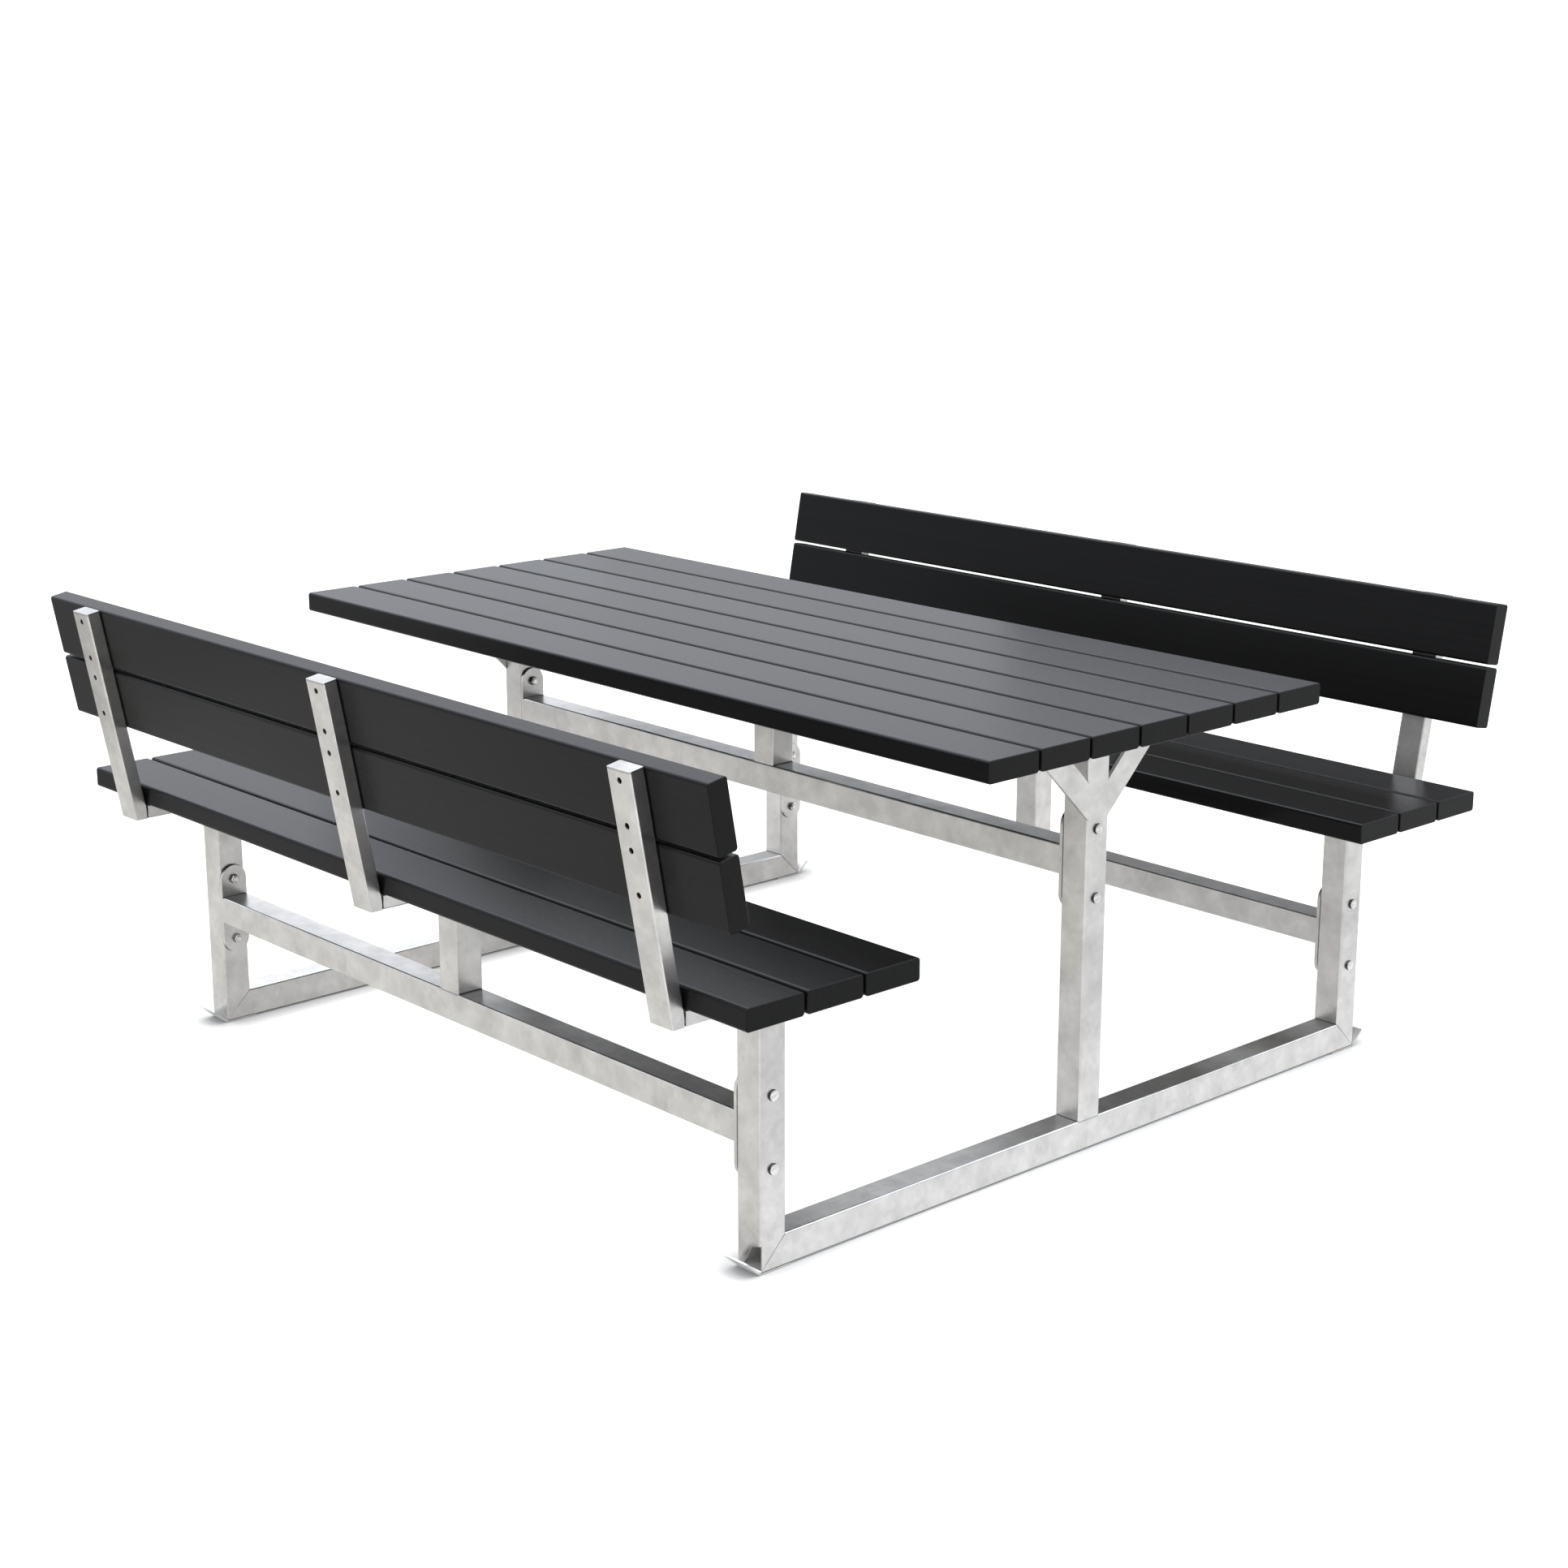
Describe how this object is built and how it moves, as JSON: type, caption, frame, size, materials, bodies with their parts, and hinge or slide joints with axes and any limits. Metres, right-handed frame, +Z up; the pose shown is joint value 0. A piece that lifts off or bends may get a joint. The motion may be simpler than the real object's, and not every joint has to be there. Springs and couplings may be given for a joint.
{
  "type": "table and bench set",
  "caption": "Outdoor picnic table joined to two benches with sloping backs, dark planks on a bolted frame of square steel tube standing on floor rails.",
  "frame": {"origin": "on the floor, below the middle of the table top", "axes": "+X along the planks, +Y across the set towards one bench, +Z up"},
  "size_m": [1.77, 1.8758, 0.7995],
  "materials": {
    "planks": "satin",
    "steel": "satin",
    "bolts": "satin"
  },
  "bodies": {
    "root": {"back_upright_caps": "steel", "far_floor_rail": "steel", "far_foot_plates": "steel", "far_left_seat_leg": "steel", "far_right_seat_leg": "steel", "far_table_bearer": "steel", "far_table_leg": "steel", "far_table_struts": "steel", "frame_bolts": "bolts", "frame_nuts": "bolts", "left_back_plank_1": "planks", "left_back_plank_2": "planks", "left_beam": "steel", "left_beam_end_plates": "steel", "left_far_back_upright": "steel", "left_far_seat_bearer": "steel", "left_middle_back_upright": "steel", "left_middle_post": "steel", "left_middle_seat_bearer": "steel", "left_near_back_upright": "steel", "left_near_seat_bearer": "steel", "left_seat_plank_1": "planks", "left_seat_plank_2": "planks", "left_seat_plank_3": "planks", "middle_table_bearer": "steel", "near_floor_rail": "steel", "near_foot_plates": "steel", "near_left_seat_leg": "steel", "near_right_seat_leg": "steel", "near_table_bearer": "steel", "near_table_leg": "steel", "near_table_struts": "steel", "right_back_plank_1": "planks", "right_back_plank_2": "planks", "right_beam": "steel", "right_beam_end_plates": "steel", "right_far_back_upright": "steel", "right_far_seat_bearer": "steel", "right_middle_back_upright": "steel", "right_middle_post": "steel", "right_middle_seat_bearer": "steel", "right_near_back_upright": "steel", "right_near_seat_bearer": "steel", "right_seat_plank_1": "planks", "right_seat_plank_2": "planks", "right_seat_plank_3": "planks", "table_beam": "steel", "table_beam_end_plates": "steel", "table_middle_post": "steel", "table_plank_1": "planks", "table_plank_2": "planks", "table_plank_3": "planks", "table_plank_4": "planks", "table_plank_5": "planks", "table_plank_6": "planks", "table_plank_7": "planks"}
  },
  "joints": []
}
